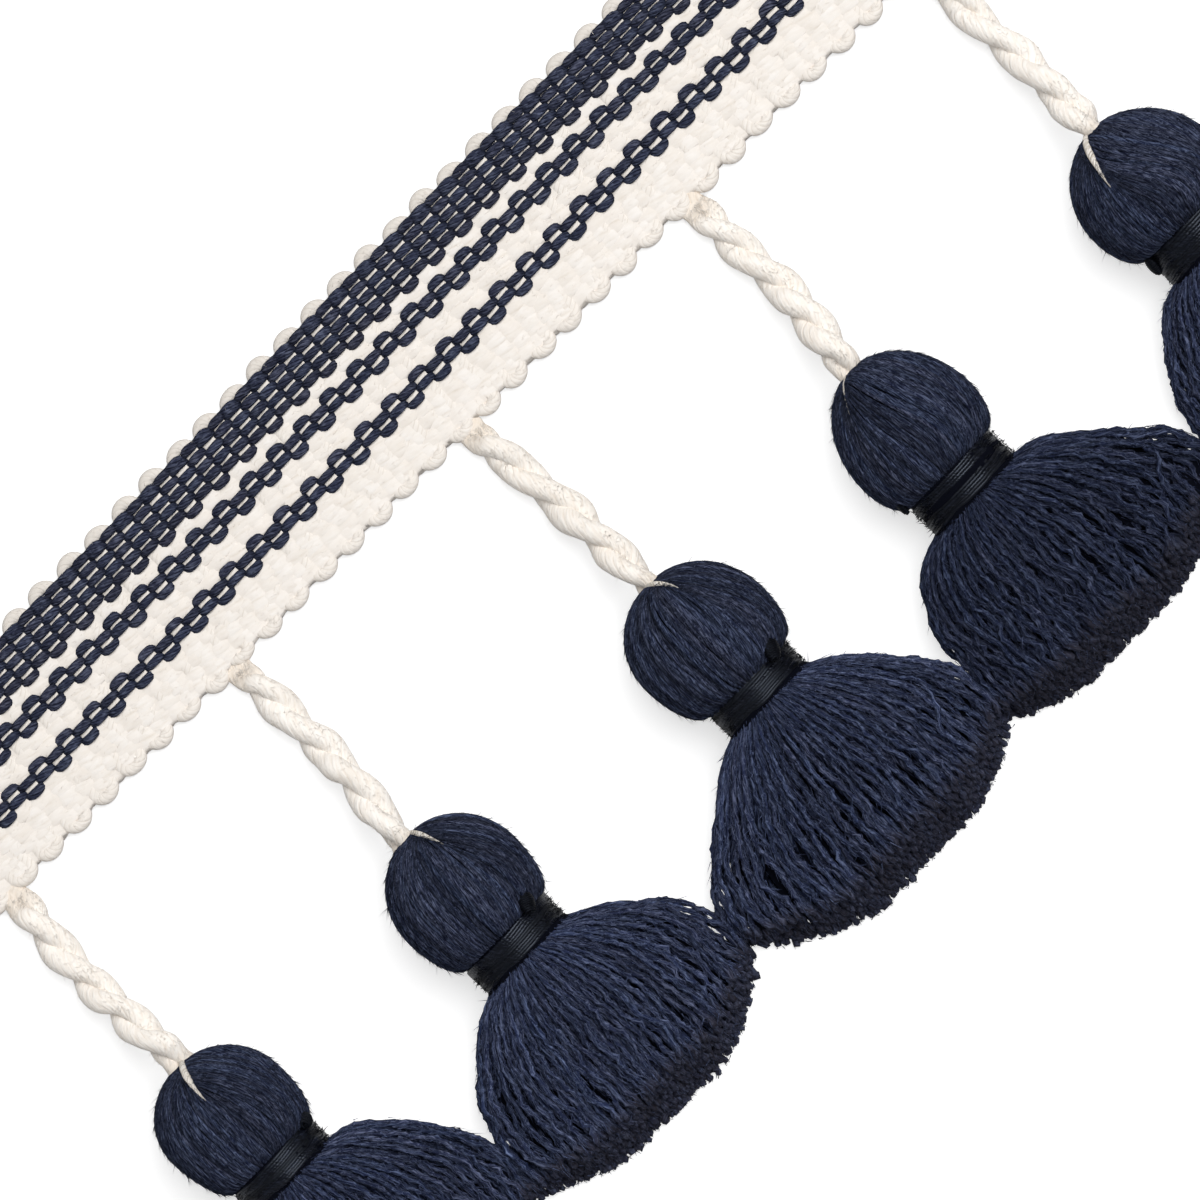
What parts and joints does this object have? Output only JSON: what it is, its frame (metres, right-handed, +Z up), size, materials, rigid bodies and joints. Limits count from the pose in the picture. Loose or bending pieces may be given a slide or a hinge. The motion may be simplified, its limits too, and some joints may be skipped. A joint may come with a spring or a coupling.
{
  "type": "tassel fringe trim",
  "caption": "Woven heading band with a scalloped edge and navy stripes, carrying yarn tassels on twisted cotton cords, lying flat.",
  "frame": {"origin": "under the middle of the whole trim, on the surface it lies on", "axes": "+X along the woven band, +Y from the tassel hems towards the band, +Z up out of the surface"},
  "size_m": [0.2, 0.1016, 0.0172],
  "materials": {
    "cream_cotton": "soft undyed cotton yarn, woven and twisted",
    "navy_yarn": "dull navy two-ply yarn",
    "binding_thread": "smooth near-black thread with a soft sheen"
  },
  "bodies": {
    "root": {"braid": "cream_cotton", "hanger_cord_1": "cream_cotton", "hanger_cord_2": "cream_cotton", "hanger_cord_3": "cream_cotton", "hanger_cord_4": "cream_cotton", "hanger_cord_5": "cream_cotton", "tassel_1": "navy_yarn", "tassel_2": "navy_yarn", "tassel_3": "navy_yarn", "tassel_4": "navy_yarn", "tassel_5": "navy_yarn", "neck_binding_1": "binding_thread", "neck_binding_2": "binding_thread", "neck_binding_3": "binding_thread", "neck_binding_4": "binding_thread", "neck_binding_5": "binding_thread"}
  },
  "joints": []
}
